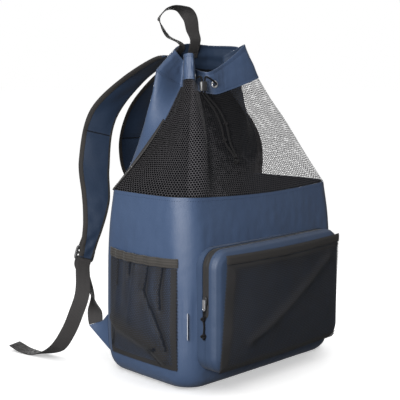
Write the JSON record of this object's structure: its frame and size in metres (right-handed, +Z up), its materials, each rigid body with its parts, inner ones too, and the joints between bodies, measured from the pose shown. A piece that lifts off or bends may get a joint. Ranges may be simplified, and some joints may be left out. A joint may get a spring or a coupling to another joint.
{
  "type": "swim backpack",
  "caption": "Soft drawstring backpack with a coated cloth body, net upper, zipped front pocket, net slip and side pockets, padded shoulder straps and a grab handle.",
  "frame": {"origin": "middle of the base, on the floor the bag stands on", "axes": "+Z up, -Y towards the front pocket, +Y towards the shoulder straps, -X towards the side pocket that the picture shows"},
  "size_m": [0.4928, 0.4497, 0.6024],
  "materials": {
    "navy_cloth": "coated plain weave",
    "black_net": "open knitted net",
    "black_webbing": "ribbed webbing and tape",
    "black_cord": "braided cord",
    "black_plastic": "moulded",
    "bright_metal": "bright plated"
  },
  "bodies": {
    "root": {"base_panel": "navy_cloth", "front_panel": "navy_cloth", "side_panel_left": "navy_cloth", "side_panel_right": "navy_cloth", "back_panel": "navy_cloth", "net_upper": "black_net", "binding_left": "black_webbing", "binding_right": "black_webbing", "collar": "navy_cloth", "eyelet_left": "bright_metal", "eyelet_right": "bright_metal", "drawcord_left": "black_cord", "drawcord_right": "black_cord", "cord_toggle": "black_plastic", "drawcord_knot": "black_cord", "grab_handle": "black_webbing", "strap_pad_left": "navy_cloth", "strap_pad_right": "navy_cloth", "strap_loop_left": "black_webbing", "strap_loop_right": "black_webbing", "ladder_lock_left": "black_plastic", "ladder_lock_right": "black_plastic", "strap_webbing_left": "black_webbing", "strap_webbing_right": "black_webbing", "anchor_tab_left": "navy_cloth", "anchor_tab_right": "navy_cloth", "side_pocket_left": "black_net", "side_pocket_right": "black_net", "side_pocket_band_left": "black_webbing", "side_pocket_band_right": "black_webbing", "pocket_gusset": "navy_cloth", "pocket_face": "navy_cloth", "zip_tape": "black_webbing", "zip_slider": "black_plastic", "zip_tab": "bright_metal", "zip_pull_cord": "black_cord", "zip_pull_knot": "black_cord", "front_net": "black_net", "front_net_hem": "black_webbing", "side_label": "black_webbing"}
  },
  "joints": []
}
